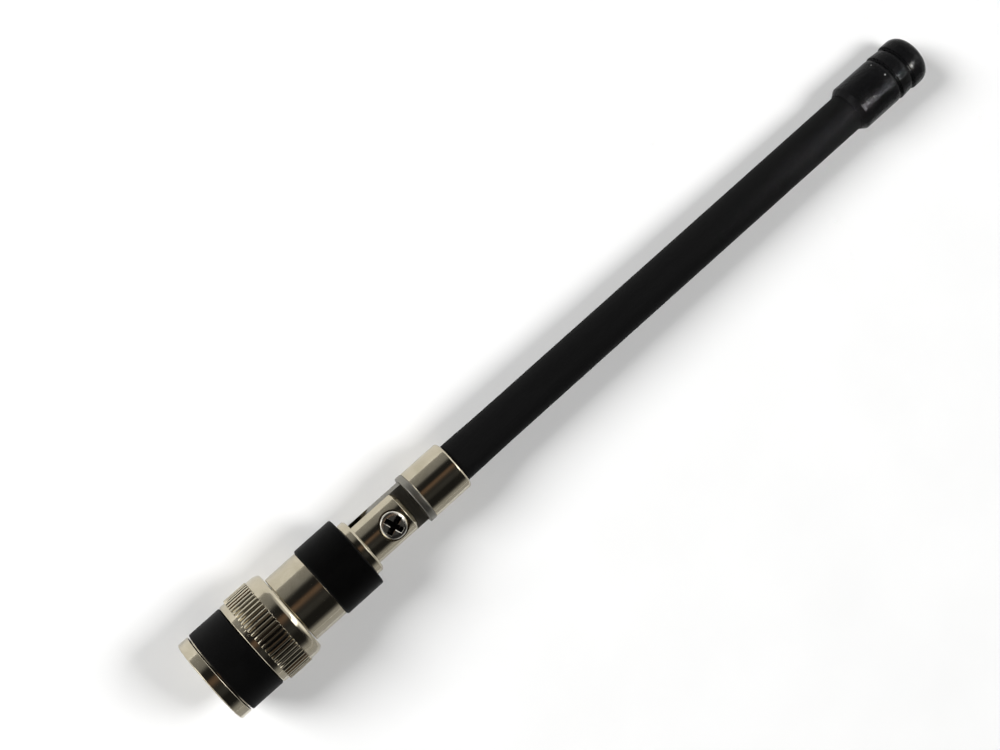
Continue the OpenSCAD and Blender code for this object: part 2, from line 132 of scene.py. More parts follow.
# Light: a pale room, a large soft lamp on each side, and small ones past each end and over the cap. Round
# them, seen only in polish, stands a studio tube of dark and pale cards that gives metal its streaks, and a
# grey card lies on the antenna's right.
world = bpy.data.worlds.new("room")
bpy.context.scene.world = world
world.use_nodes = True
tree = world.node_tree
tree.nodes.clear()
room_light = 0.08
paths = add_node(tree, "LightPath").outputs
seen = sums(tree, "MAXIMUM", sums(tree, "MAXIMUM", paths["Is Camera Ray"], paths["Is Glossy Ray"]),
            paths["Is Transmission Ray"])
level = sums(tree, "MULTIPLY_ADD", seen, 1.0 - room_light, room_light)
room = add_node(tree, "Background", {"Color": (1, 1, 1, 1), "Strength": level})
tree.links.new(room.outputs[0], add_node(tree, "OutputWorld").inputs["Surface"])


def add_lamp(name, place, aim, width, length, glow, in_polish, spread=180):
    """A soft lamp at a place, aimed at a point, that lights only polish or only matt things. Its glow is how
    bright its face looks, and spread the angle of its beam."""
    light = bpy.data.lights.new(name, "AREA")
    light.shape, light.size, light.size_y = "RECTANGLE", width, length
    light.energy = glow * math.pi * width * length
    light.spread = math.radians(spread)
    lamp = bpy.data.objects.new(name, light)
    bpy.context.scene.collection.objects.link(lamp)
    lamp.location = place
    lamp.rotation_euler = (Vector(aim) - Vector(place)).to_track_quat("-Z", "Y").to_euler()
    lamp.visible_glossy, lamp.visible_diffuse = in_polish, not in_polish


add_lamp("right_lamp", (0.33, -0.93, 0.62), (0, 0, 0.05), 0.45, 0.45, 11.4, False)
add_lamp("left_lamp", (-0.74, -0.64, -0.53), (0, 0, 0.05), 0.45, 0.45, 21.0, False)
add_lamp("tip_strip", (0.076, -0.305, 0.408), (0, 0, 0.006), 0.16, 0.41, 2.6, True)
add_lamp("foot_strip", (-0.30, -0.21, -0.36), (0, 0, 0.006), 0.26, 0.50, 2.0, True)
add_lamp("cap_strip", (0.139, -0.375, 0.188), (0, 0, 0.124), 0.04, 0.04, 3.4, True, 7)

tube_radius, tube_foot, tube_top, tube_steps = 1.0, -2.6, 3.2, 96
bpy.ops.object.select_all(action="DESELECT")
bpy.ops.mesh.primitive_circle_add(vertices=tube_steps, radius=tube_radius, location=(0, 0, tube_foot))
tube = bpy.context.object
tube.name = "studio_tube"
bpy.ops.object.mode_set(mode="EDIT")
bpy.ops.mesh.select_all(action="SELECT")
bpy.ops.mesh.extrude_region_move(TRANSFORM_OT_translate={"value": (0, 0, tube_top - tube_foot)})
bpy.ops.object.mode_set(mode="OBJECT")
bpy.ops.object.transform_apply()
cards, tree, output = new_material("studio_cards")
spot = add_node(tree, "SeparateXYZ", {0: add_node(tree, "TexCoord").outputs["Object"]}).outputs
turn = sums(tree, "ARCTAN2", spot["X"], sums(tree, "MULTIPLY", spot["Y"], -1.0))
card_turns = [
    (-180, 1.0), (-160, 0.9), (-140, 0.22), (-118, 0.75), (-90, 0.45), (-80, 0.36), (-62, 0.30), (-53, 0.24),
    (-45, 0.05), (-40, 0.02), (-24, 0.02), (-16, (0.16, 0.105, 0.073)), (-10, (0.16, 0.11, 0.080)),
    (-2, (0.055, 0.046, 0.040)), (6, 0.035), (14, 0.05), (24, 0.045), (33, 0.016), (62, 0.016), (70, 0.12),
    (78, 0.40), (90, 0.46), (118, 0.85), (140, 0.22), (162, 0.9), (180, 1.0)]
streaks = shades(tree, sums(tree, "MULTIPLY_ADD", turn, 1 / math.tau, 0.5),
                 [((degrees + 180) / 360, shade) for degrees, shade in card_turns])
pale_ends = [(0.62, 0.85, 0.8), (0.95, 1.40, 1.5)]
from_middle = sums(tree, "ABSOLUTE", spot["Z"])
shade = streaks
for begins, ends, end_glow in pale_ends:
    near_end = add_node(tree, "MapRange", {
        "Value": from_middle, "From Min": begins, "From Max": ends}, interpolation_type="SMOOTHSTEP")
    shade = add_node(tree, "Mix", {
        0: near_end.outputs[0], 6: shade, 7: (end_glow, end_glow, end_glow, 1)}, data_type="RGBA").outputs[2]
tree.links.new(add_node(tree, "Emission", {"Color": shade}).outputs[0], output.inputs["Surface"])
tube.data.materials.append(cards)
low_card_right, low_card_lift, low_card_width, low_card_length = 0.22, 0.0005, 0.40, 0.90
bpy.ops.object.select_all(action="DESELECT")
bpy.ops.mesh.primitive_plane_add(
    size=1, rotation=(math.radians(90) + math.atan(floor_slope), 0, 0),
    location=(low_card_right, floor_at_knurl + floor_slope * knurl_height - low_card_lift, 0))
low_card = bpy.context.object
low_card.name = "low_card"
low_card.scale = (low_card_width, low_card_length, 1)
bpy.ops.object.transform_apply()
grey_card, tree, output = new_material("grey_card")
across = add_node(tree, "SeparateXYZ", {0: add_node(tree, "TexCoord").outputs["Object"]}).outputs["X"]
greys = shades(tree, across, [(0.02, 0.48), (0.4, 0.62)])
tree.links.new(add_node(tree, "Emission", {"Color": greys}).outputs[0], output.inputs["Surface"])
low_card.data.materials.append(grey_card)
for stand in (tube, low_card):
    stand.visible_camera = stand.visible_diffuse = stand.visible_shadow = stand.visible_transmission = False


# Coupling nut: the turned brass nut of the bayonet plug, plated with bright nickel. It has a smooth front
# ring, a seat for the rubber band, a straight knurl and a tapered tail, and two bayonet tracks in its bore.
def choose(piece, wanted):
    """Goes into edit mode with those corners of a piece selected for which wanted(place) is true."""
    bpy.context.view_layer.objects.active = piece
    if piece.mode != "EDIT":
        bpy.ops.object.mode_set(mode="EDIT")
    bpy.ops.mesh.select_mode(type="VERT")
    bpy.ops.mesh.select_all(action="DESELECT")
    bpy.ops.object.mode_set(mode="OBJECT")
    for corner in piece.data.vertices:
        corner.select = bool(wanted(corner.co))
    bpy.ops.object.mode_set(mode="EDIT")


def turned(name, outline, rounds=(), edge=0.05, closed=False, steps=192):
    """A lathe-turned piece, in millimetres. Half its outline, in steps of (diameter, height), is drawn
    corner by corner. Each (diameter, height, radius) of rounds rounds a corner, and edge the others."""
    bpy.ops.object.select_all(action="DESELECT")
    bpy.ops.mesh.primitive_plane_add(size=1)
    piece = bpy.context.object
    piece.name = piece.data.name = name
    bpy.ops.object.mode_set(mode="EDIT")
    bpy.ops.mesh.select_mode(type="VERT")
    bpy.ops.mesh.select_all(action="SELECT")
    bpy.ops.mesh.merge(type="CENTER")
    corners = [Vector((diameter / 2, 0, height)) for diameter, height in outline]
    bpy.ops.transform.translate(value=corners[0])
    for here, there in zip(corners, corners[1:] + corners[:1] * closed):
        bpy.ops.mesh.extrude_vertices_move(TRANSFORM_OT_translate={"value": there - here})
    bpy.ops.mesh.select_all(action="SELECT")
    bpy.ops.mesh.remove_doubles(threshold=0.001)
    special = {(diameter, height): radius for diameter, height, radius in rounds}
    for radius in sorted({edge, *special.values()}):
        places = [corner for corner, step in zip(corners, outline)
                  if special.get(tuple(step), edge) == radius and step[0] > 0]
        if radius > 0 and places:
            choose(piece, lambda spot: min((spot - place).length for place in places) < 0.002)
            bpy.ops.mesh.bevel(offset=radius, segments=3 if radius < 0.15 else 8, affect="VERTICES")
    bpy.ops.mesh.select_all(action="SELECT")
    bpy.ops.mesh.spin(steps=steps, angle=math.tau, center=(0, 0, 0), axis=(0, 0, 1))
    bpy.ops.mesh.select_all(action="SELECT")
    bpy.ops.mesh.remove_doubles(threshold=0.0005)
    bpy.ops.mesh.normals_make_consistent(inside=False)
    bpy.ops.object.mode_set(mode="OBJECT")
    return piece


def work(piece, tool, operation):
    """Cuts a piece by a tool, trims it to the tool or joins the tool to it. The tool is used up."""
    bpy.context.view_layer.objects.active = piece
    change = piece.modifiers.new("work", "BOOLEAN")
    change.operation, change.object, change.solver = operation, tool, "EXACT"
    bpy.ops.object.modifier_apply(modifier=change.name)
    bpy.data.meshes.remove(tool.data)


def to_size(piece, material, smooth_angle=32):
    """Brings a piece from millimetres to metres, closes its seams, smooths it and gives it its material."""
    choose(piece, lambda spot: True)
    bpy.ops.mesh.remove_doubles(threshold=0.0002)
    bpy.ops.transform.resize(value=(0.001, 0.001, 0.001), center_override=(0, 0, 0))
    bpy.ops.object.mode_set(mode="OBJECT")
    bpy.ops.object.select_all(action="DESELECT")
    piece.select_set(True)
    bpy.ops.object.shade_smooth_by_angle(angle=math.radians(smooth_angle))
    piece.data.materials.clear()
    piece.data.materials.append(material)


def new_group(name, inputs, outputs):
    """A shader node group with named sockets: inputs as (name, kind, value), outputs as (name, kind)."""
    group = bpy.data.node_groups.new(name, "ShaderNodeTree")
    for socket, kind, value in inputs:
        made = group.interface.new_socket(socket, in_out="INPUT", socket_type="NodeSocket" + kind)
        if value is not None:
            made.default_value = value
    for socket, kind in outputs:
        group.interface.new_socket(socket, in_out="OUTPUT", socket_type="NodeSocket" + kind)
    return group, group.nodes.new("NodeGroupInput").outputs, group.nodes.new("NodeGroupOutput").inputs


turning_marks, given, gives = new_group(
    "turning_marks", [("Place", "Vector", None), ("Lines per mm", "Float", 14.0)], [("Lines", "Float")])
spot = add_node(turning_marks, "SeparateXYZ", {0: given["Place"]}).outputs
reach = sums(turning_marks, "SQRT", sums(
    turning_marks, "ADD", sums(turning_marks, "MULTIPLY", spot["X"], spot["X"]),
    sums(turning_marks, "MULTIPLY", spot["Y"], spot["Y"])))
along = sums(turning_marks, "MULTIPLY", sums(turning_marks, "ADD", spot["Z"], reach), 1000.0)
lines = add_node(turning_marks, "TexNoise", {
    "W": sums(turning_marks, "MULTIPLY", along, given["Lines per mm"]), "Scale": 1.0, "Detail": 3.0,
    "Roughness": 0.65}, noise_dimensions="1D").outputs["Fac"]
turning_marks.links.new(lines, gives["Lines"])


def in_millimetres(tree, place):
    """A place in millimetres instead of metres."""
    return add_node(tree, "VectorMath", {0: place, 1: (1000, 1000, 1000)}, operation="MULTIPLY").outputs[0]


handling, given, gives = new_group(
    "handling",
    [("Place", "Vector", None), ("Smears per mm", "Float", 0.35), ("Flecks per mm", "Float", 2.4)],
    [("Smears", "Float"), ("Flecks", "Float")])
in_mm = in_millimetres(handling, given["Place"])
smears = add_node(handling, "TexNoise", {
    "Vector": in_mm, "Scale": given["Smears per mm"], "Detail": 5.0, "Roughness": 0.62, "Distortion": 0.6})
handling.links.new(shades(handling, smears.outputs["Fac"], [(0.38, 0.0), (0.68, 1.0)]), gives["Smears"])
flecks = add_node(handling, "TexVoronoi", {
    "Vector": in_mm, "Scale": given["Flecks per mm"], "Randomness": 1.0})
handling.links.new(shades(handling, flecks.outputs["Distance"], [(0.05, 1.0), (0.13, 0.0)]), gives["Flecks"])


def plated(name, bright, stained, roughness, lines_per_mm, quarter_turn=0.0, relief=0.12):
    """Bright plate on a turned piece: fine lines round its axis, smears, and flecks of tarnish."""
    made, tree, output = new_material(name)
    place = add_node(tree, "Mapping", {
        "Vector": add_node(tree, "TexCoord").outputs["Object"], "Rotation": (quarter_turn, 0, 0)}).outputs[0]
    lines = add_node(tree, "Group", node_tree=turning_marks)
    lines.inputs["Lines per mm"].default_value = lines_per_mm
    touch = add_node(tree, "Group", node_tree=handling)
    for node in (lines, touch):
        tree.links.new(place, node.inputs["Place"])
    smears, flecks = touch.outputs["Smears"], touch.outputs["Flecks"]
    stain = sums(tree, "MULTIPLY_ADD", smears, 0.55, sums(tree, "MULTIPLY", flecks, 0.35))
    colour = add_node(tree, "Mix", {0: stain, 6: (*bright, 1), 7: (*stained, 1)}, data_type="RGBA").outputs[2]
    rough = sums(tree, "MULTIPLY_ADD", lines.outputs["Lines"], 0.08, sums(
        tree, "MULTIPLY_ADD", stain, 0.12, roughness))
    height = sums(tree, "MULTIPLY_ADD", flecks, -0.4, lines.outputs["Lines"])
    bump = add_node(tree, "Bump", {"Height": height, "Strength": relief, "Distance": 0.000004})
    metal = add_node(tree, "BsdfPrincipled", {
        "Base Color": colour, "Metallic": 1.0, "Roughness": rough, "Normal": bump.outputs[0]})
    tree.links.new(metal.outputs[0], output.inputs["Surface"])
    return made


def painted_shade(material, part_of, shade_colour):
    """Paints shade into a plated material: darkens it to the given shade colour where part_of(tree, place)
    gives 1.
    """
    tree = material.node_tree
    place = add_node(tree, "SeparateXYZ", {0: add_node(tree, "TexCoord").outputs["Object"]}).outputs
    base = tree.nodes["Principled BSDF"].inputs["Base Color"]
    tree.links.new(add_node(tree, "Mix", {
        0: part_of(tree, place), 6: base.links[0].from_socket, 7: (*shade_colour, 1)},
        data_type="RGBA").outputs[2], base)


def distance(tree, first, second):
    """How far a place is from an axis, from its two distances across."""
    squares = sums(tree, "ADD", sums(tree, "POWER", first, 2.0), sums(tree, "POWER", second, 2.0))
    return sums(tree, "SQRT", squares)


nickel = ((0.53, 0.48, 0.37), (0.41, 0.365, 0.265), 0.07, 14.0)
nickel_plate = plated("nickel_plate", *nickel)
knurled_plate = plated("knurled_plate", *nickel)
ridges, knurl_d, knurl_root_d, knurl_foot, knurl_top = 60, 14.5, 13.96, 0.13, 4.13
# Painted shade in the knurl's roots: full inside the first reach from the axis, none past the second, and cut
# to a fifth on the -X side, which is left lighter as it catches more light.
full_shade_reach, shade_edge_reach, lit_side, shaded_side, least_shade = 0.00699, 0.00712, -0.007, -0.004, 0.2
knurl_root_shade = (0.10, 0.09, 0.075)


def shaded_knurl_roots(tree, place):
    """Painted shade: 1 in the knurl's roots, where shade falls, less on its -X side, which is left lighter as
    it catches more light, and 0 on its ridges and the rest of the nut.
    """
    depth = add_node(tree, "MapRange", {
        "Value": distance(tree, place["X"], place["Y"]), "From Min": full_shade_reach, "From Max": shade_edge_reach,
        "To Min": 1.0, "To Max": 0.0})
    within = sums(
        tree, "COMPARE", place["Z"], (knurl_foot + knurl_top) / 2000, (knurl_top - knurl_foot) / 2000)
    side_shade = add_node(tree, "MapRange", {
        "Value": place["X"], "From Min": lit_side, "From Max": shaded_side, "To Min": least_shade})
    return sums(tree, "MULTIPLY", sums(tree, "MULTIPLY", depth.outputs[0], within), side_shade.outputs[0])


painted_shade(knurled_plate, shaded_knurl_roots, knurl_root_shade)
bore_d, neck_bore_d, lip_height = 9.86, 8.1, 3.43
nut_front, nut_rear = -8.6, 6.3
front_ring_d, ring_edge_d, ring_bevel, ring_back = 13.7, 13.4, 0.15, -6.75
seat_d, rim_foot, rim_d, rim_bevel = 12.5, -0.97, 13.9, 0.25
tail_d, tail_bend, tail_mid_d, tail_mid, tail_end_d, tail_round = 14.15, 5.4, 13.72, 6.0, 13.2, 0.2
nut_edge, nut_steps = 0.04, 240
coupling_nut = turned("nut", [
    (bore_d, nut_front), (ring_edge_d, nut_front), (front_ring_d, nut_front + ring_bevel),
    (front_ring_d, ring_back - ring_bevel), (ring_edge_d, ring_back), (seat_d, ring_back), (seat_d, rim_foot),
    (ring_edge_d, rim_foot), (rim_d, rim_foot + rim_bevel), (rim_d, knurl_top), (tail_d, knurl_top),
    (tail_d, tail_bend), (tail_mid_d, tail_mid), (tail_end_d, nut_rear), (neck_bore_d, nut_rear),
    (neck_bore_d, lip_height), (bore_d, lip_height)],
    rounds=[(tail_d, tail_bend, tail_round), (tail_mid_d, tail_mid, tail_round)],
    edge=nut_edge, closed=True, steps=nut_steps)
ridge_corners, ridge_shoulder_d, knurl_bevel = 6, knurl_d - 0.12, 0.13
ridge_pitch = math.tau / ridges


def from_crest(spot):
    """How far a corner of the knurl is from the middle of its ridge, as a share of the ridges' pitch."""
    steps = math.atan2(spot.x, spot.y) / ridge_pitch + 1 / (2 * ridge_corners)
    return abs((steps + 0.5) % 1 - 0.5)


bpy.ops.object.select_all(action="DESELECT")
bpy.ops.mesh.primitive_cylinder_add(
    vertices=ridge_corners * ridges, radius=knurl_d / 2, depth=knurl_top - knurl_foot,
    location=(0, 0, (knurl_foot + knurl_top) / 2))
knurl = bpy.context.object
bpy.ops.object.transform_apply()
for corner, width in ((1, ridge_shoulder_d), (2, knurl_root_d)):
    choose(knurl, lambda spot: corner < from_crest(spot) * ridge_corners < corner + 1)
    bpy.ops.transform.resize(value=(width / knurl_d, width / knurl_d, 1), center_override=(0, 0, 0))
choose(knurl, lambda spot: True)
bpy.ops.mesh.select_mode(type="EDGE")
bpy.ops.mesh.select_all(action="DESELECT")
bpy.ops.object.mode_set(mode="OBJECT")
for rim in knurl.data.edges:
    ends = [knurl.data.vertices[corner].co.z for corner in rim.vertices]
    rim.select = abs(ends[0] - ends[1]) < 0.001
bpy.ops.object.mode_set(mode="EDIT")
bpy.ops.mesh.bevel(offset=knurl_bevel, segments=2, affect="EDGES")
bpy.ops.object.mode_set(mode="OBJECT")
core_d, core_spare = 12.0, 1
core = turned("core", [
    (0, knurl_foot - core_spare), (core_d, knurl_foot - core_spare), (core_d, knurl_top + core_spare),
    (0, knurl_top + core_spare)], edge=0)
work(knurl, core, "DIFFERENCE")
work(coupling_nut, knurl, "UNION")
track_d, track_w, track_lead_z, track_deep_z, track_rest_z = 11.3, 2.2, -6.7, -4.85, -5.2
slope_turn, track_turn = 79.0, 88.0
half_z = (track_lead_z + track_deep_z) / 2
mid_r = (bore_d + track_d) / 4
track_entry, reach_foot = nut_front - 1.5, nut_front - 3
track_legs = [
    (0, track_entry, 0, track_lead_z), (0, track_lead_z, slope_turn / 2, half_z),
    (slope_turn / 2, half_z, slope_turn, track_deep_z), (slope_turn, track_deep_z, track_turn, track_rest_z)]
for half_turn in (0, 180):
    for turn0, z0, turn1, z1 in track_legs:
        across = 2 * mid_r * math.sin(math.radians(turn1 - turn0) / 2)
        run = math.hypot(across, z1 - z0)
        bpy.ops.object.select_all(action="DESELECT")
        bpy.ops.mesh.primitive_cylinder_add(
            vertices=48, radius=track_w / 2, depth=track_d / 2, rotation=(0, math.pi / 2, 0))
        mill = bpy.context.object
        bpy.ops.object.transform_apply()
        for side in (-1, 1):
            choose(mill, lambda spot: side * spot.y > 0.001)
            bpy.ops.transform.translate(value=(0, side * run / 2, 0))
        bpy.ops.object.mode_set(mode="OBJECT")
        mill.matrix_world = (
            Matrix.Rotation(math.radians((turn0 + turn1) / 2 + half_turn), 4, "Z")
            @ Matrix.Translation((track_d / 4, 0, (z0 + z1) / 2))
            @ Matrix.Rotation(math.atan2(z1 - z0, across), 4, "X"))
        bpy.ops.object.transform_apply()
        reach = turned("reach", [
            (0, reach_foot), (track_d, reach_foot), (track_d, lip_height), (0, lip_height)],
            edge=0, steps=96)
        work(mill, reach, "INTERSECT")
        work(coupling_nut, mill, "DIFFERENCE")
to_size(coupling_nut, knurled_plate)
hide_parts("coupling_nut")
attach(coupling_nut, "nut")

# Nut band: a smooth black rubber sleeve, moulded, stretched over the seat between the nut's front ring and
# its rim, for grip.
rubber_skin, given, gives = new_group(
    "rubber_skin",
    [("Place", "Vector", None), ("Grains per mm", "Float", 9.0), ("Patches per mm", "Float", 0.25)],
    [("Grain", "Float"), ("Bloom", "Float")])
in_mm = in_millimetres(rubber_skin, given["Place"])
grain = add_node(rubber_skin, "TexNoise", {
    "Vector": in_mm, "Scale": given["Grains per mm"], "Detail": 2.0, "Roughness": 0.55}).outputs["Fac"]
bloom = add_node(rubber_skin, "TexNoise", {
    "Vector": in_mm, "Scale": given["Patches per mm"], "Detail": 4.0, "Roughness": 0.6}).outputs["Fac"]
rubber_skin.links.new(shades(rubber_skin, grain, [(0.35, 0.0), (0.65, 1.0)]), gives["Grain"])
rubber_skin.links.new(shades(rubber_skin, bloom, [(0.35, 0.0), (0.7, 1.0)]), gives["Bloom"])


def rubbery(name, deep, bloomed, roughness, sheen, grains_per_mm, relief, stretch=1.0, specks=()):
    """Black rubber or plastic: fine grain, drawn out along the piece by stretch, a pale bloom in patches,
    and specks of dust as (x, y, z, radius) in millimetres."""
    made, tree, output = new_material(name)
    spot = add_node(tree, "TexCoord").outputs["Object"]
    place = add_node(tree, "Mapping", {"Vector": spot, "Scale": (1, 1, 1 / stretch)}).outputs[0]
    skin = add_node(tree, "Group", {"Place": place}, node_tree=rubber_skin)
    skin.inputs["Grains per mm"].default_value = grains_per_mm
    grain, bloom = skin.outputs["Grain"], skin.outputs["Bloom"]
    worn = sums(tree, "MULTIPLY_ADD", grain, 0.35, sums(tree, "MULTIPLY", bloom, 0.65))
    colour = add_node(tree, "Mix", {0: worn, 6: (*deep, 1), 7: (*bloomed, 1)}, data_type="RGBA").outputs[2]
    for x, y, z, radius in specks:
        middle = (x / 1000, y / 1000, z / 1000)
        away = add_node(tree, "VectorMath", {0: spot, 1: middle}, operation="DISTANCE")
        ragged = sums(tree, "MULTIPLY_ADD", grain, 0.0001, away.outputs["Value"])
        speck = add_node(tree, "MapRange", {
            "Value": ragged, "From Min": radius / 2000, "From Max": radius / 1000,
            "To Min": 1.0, "To Max": 0.0})
        colour = add_node(tree, "Mix", {
            0: speck.outputs[0], 6: colour, 7: (0.55, 0.55, 0.54, 1)}, data_type="RGBA").outputs[2]
    rough = sums(tree, "MULTIPLY_ADD", worn, 0.16, roughness)
    bump = add_node(tree, "Bump", {"Height": grain, "Strength": relief, "Distance": 0.00003})
    skin_shader = add_node(tree, "BsdfPrincipled", {
        "Base Color": colour, "Roughness": rough, "Specular IOR Level": sheen, "Normal": bump.outputs[0]})
    tree.links.new(skin_shader.outputs[0], output.inputs["Surface"])
    return made


band_rubber = rubbery(
    "band_rubber", (0.0014, 0.0014, 0.0014), (0.0025, 0.0025, 0.0024), 0.46, 0.065, 7.0, 0.15)
band_foot, band_top, band_bore_d, band_d, band_round = -6.5, -1.0, 12.54, 13.8, 0.15
nut_band = turned("band", [
    (band_bore_d, band_foot), (band_d, band_foot), (band_d, band_top), (band_bore_d, band_top)],
    rounds=[(band_d, band_foot, band_round), (band_d, band_top, band_round)], closed=True)
to_size(nut_band, band_rubber)
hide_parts("nut_band")
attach(nut_band, "nut")

# Washers: a wavy spring washer and a flat one inside the nut, stamped from spring steel. They push the nut
# back, so that the bayonet stays locked, and the wavy one is pressed flatter as the nut slides forward.
spring_steel = plated("spring_steel", (0.56, 0.56, 0.55), (0.40, 0.38, 0.35), 0.26, 9.0)
for washer in ("thrust_washer", "wave_washer"):
    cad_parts[washer].material_slots[0].material = spring_steel
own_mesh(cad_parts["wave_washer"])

# Plug: the inner body with its slotted outer contact, turned and nickel plated. A red gasket sits on it,
# and a white insulator in it holds the gilt pin.
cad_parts["plug_body"].material_slots[0].material = nickel_plate
gilt_plate = plated("gilt_plate", (0.86, 0.66, 0.30), (0.66, 0.46, 0.18), 0.16, 16.0)
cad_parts["centre_contact"].material_slots[0].material = gilt_plate
gasket_rubber = rubbery("gasket_rubber", (0.38, 0.085, 0.035), (0.47, 0.13, 0.06), 0.48, 0.4, 8.0, 0.2)
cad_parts["gasket"].material_slots[0].material = gasket_rubber
white_plastic = rubbery("white_plastic", (0.80, 0.80, 0.775), (0.88, 0.88, 0.86), 0.32, 0.5, 4.0, 0.1)
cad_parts["dielectric"].material_slots[0].material = white_plastic

# Base shell: a plain sleeve behind the nut, turned from brass and plated with nickel. It is screwed on the
# plug's neck, and the insulator's spigot is pressed into its other end.
shell_foot, shell_top, shell_d, shell_step, shell_round = 6.42, 12.02, 11.25, 9.02, 0.15
thread_d, socket_d = 8.04, 9.34
base_shell = turned("shell", [
    (thread_d, shell_foot), (shell_d, shell_foot), (shell_d, shell_top), (socket_d, shell_top),
    (socket_d, shell_step), (thread_d, shell_step)],
    rounds=[(shell_d, shell_foot, shell_round), (shell_d, shell_top, shell_round)], closed=True)
to_size(base_shell, nickel_plate)
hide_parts("base_shell")
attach(base_shell, "plug")

# Base insulator: a ring of matt black plastic, turned from rod, its spigot pressed into the shell. It keeps
# the live upper half apart from the plug's shell.
black_plastic = rubbery(
    "black_plastic", (0.0007, 0.0007, 0.0007), (0.0015, 0.0015, 0.0014), 0.40, 0.055, 6.0, 0.12)
ring_foot, ring_top, ring_d, ring_round = 12.02, 18.82, 11.75, 0.3
spigot_d, spigot_foot, stud_bore_d = 9.3, 9.17, 3.04
base_insulator = turned("insulator", [
    (stud_bore_d, spigot_foot), (spigot_d, spigot_foot), (spigot_d, ring_foot), (ring_d, ring_foot),
    (ring_d, ring_top), (stud_bore_d, ring_top)],
    rounds=[(ring_d, ring_foot, ring_round), (ring_d, ring_top, ring_round)], closed=True)
to_size(base_insulator, black_plastic)
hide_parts("base_insulator")
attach(base_insulator, "plug")


# Fork: collar, two prongs and a stud, turned in one piece, slotted for the tongue and counterbored for the
# screw's head, and plated.
def cross_pin(diameter, y0, y1, height):
    """A round tool along Y between two places, at a height."""
    bpy.ops.object.select_all(action="DESELECT")
    bpy.ops.mesh.primitive_cylinder_add(
        vertices=128, radius=diameter / 2, depth=y1 - y0, rotation=(math.pi / 2, 0, 0),
        location=(0, (y0 + y1) / 2, height))
    pin = bpy.context.object
    bpy.ops.object.transform_apply()
    return pin


collar_foot, collar_top, fork_d, prong_top, pivot_height = 18.82, 20.17, 7.0, 27.97, 25.02
collar_d, collar_bevel, prong_end_d, prong_bevel = 9.0, 0.3, 5.9, 0.55
stud_d, stud_foot, tail_pin_d, tail_pin_foot = 3.0, 9.095, 1.2, 6.095
slot_w, slot_floor_gap, screw_hole_d, head_hole_d, head_floor_y = 2.06, 0.02, 2.54, 4.64, -1.9
fork = turned("knuckle_fork", [
    (0, tail_pin_foot), (tail_pin_d, tail_pin_foot), (tail_pin_d, stud_foot), (stud_d, stud_foot),
    (stud_d, collar_foot), (collar_d, collar_foot), (collar_d, collar_top - collar_bevel),
    (collar_d - 2 * collar_bevel, collar_top), (fork_d, collar_top), (fork_d, prong_top - prong_bevel),
    (prong_end_d, prong_top), (0, prong_top)])
bpy.ops.object.select_all(action="DESELECT")
bpy.ops.mesh.primitive_cube_add(size=1)
saw = bpy.context.object
saw.dimensions = (3 * fork_d, slot_w, 2 * (prong_top - collar_top))
saw.location = (0, 0, prong_top + slot_floor_gap)
bpy.ops.object.transform_apply()
work(fork, saw, "DIFFERENCE")
work(fork, cross_pin(screw_hole_d, -fork_d, fork_d, pivot_height), "DIFFERENCE")
work(fork, cross_pin(head_hole_d, -fork_d, head_floor_y, pivot_height), "DIFFERENCE")
to_size(fork, nickel_plate)
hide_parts("fork")
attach(fork, "plug")

# Pivot screw: a small plated steel screw with a cross recess, driven through both prongs, its crowned head
# in the counterbore.
screw_plate = plated("screw_plate", (0.72, 0.69, 0.62), (0.50, 0.46, 0.38), 0.13, 10.0, math.pi / 2)
shank_d, head_d, shank_end, head_floor, head_top = 2.5, 4.2, -3.2, 1.9, 3.3
recess_mouth_y, recess_dark_y, recess_reach = -0.00322, -0.003, 0.00175
recess_shade = (0.02, 0.018, 0.016)


def shaded_cross_recess(tree, place):
    """1 inside the cross recess, where shade is painted, and 0 on the rest of the screw."""
    depth = add_node(tree, "MapRange", {
        "Value": place["Y"], "From Min": recess_mouth_y, "From Max": recess_dark_y},
        interpolation_type="SMOOTHSTEP")
    off_axis = distance(tree, place["X"], sums(tree, "SUBTRACT", place["Z"], pivot_height / 1000))
    return sums(tree, "MULTIPLY", depth.outputs[0], sums(tree, "LESS_THAN", off_axis, recess_reach))


# Painted shade: the cross recess is darkened nearly to black, as shade falls in it.
painted_shade(screw_plate, shaded_cross_recess, recess_shade)
cross_span, cross_w, cross_depth, cross_turn = 3.1, 0.8, 0.9, math.radians(20)
wing_taper, slot_taper = 0.55, 0.7
recess_rim_depth, recess_rim_reach, recess_rim_bevel = 0.15, cross_span / 2 + 0.1, 0.07
head_edge, head_round, crown_d, crown_foot, crown_round = 3.0, 0.22, 3.1, head_top - 0.04, 0.3
pivot_screw = turned("screw", [
    (0, shank_end), (shank_d, shank_end), (shank_d, head_floor), (head_d, head_floor), (head_d, head_edge),
    (crown_d, crown_foot), (0, head_top)],
    rounds=[(head_d, head_edge, head_round), (crown_d, crown_foot, crown_round)])
for quarter in (0, math.pi / 2):
    bpy.ops.object.select_all(action="DESELECT")
    bpy.ops.mesh.primitive_cube_add(size=1)
    punch = bpy.context.object
    punch.dimensions = (cross_span / (1 + wing_taper) * 2, cross_w / (1 + slot_taper) * 2, 2 * cross_depth)
    punch.location = (0, 0, head_top)
    bpy.ops.object.transform_apply()
    choose(punch, lambda spot: spot.z < head_top)
    bpy.ops.transform.resize(value=(wing_taper, slot_taper, 1), center_override=(0, 0, 0))
    bpy.ops.object.mode_set(mode="OBJECT")
    punch.rotation_euler = (0, 0, quarter + cross_turn)
    bpy.ops.object.transform_apply()
    work(pivot_screw, punch, "DIFFERENCE")
choose(pivot_screw, lambda spot: False)
bpy.ops.mesh.select_mode(type="EDGE")
bpy.ops.mesh.edges_select_sharp(sharpness=math.radians(40))
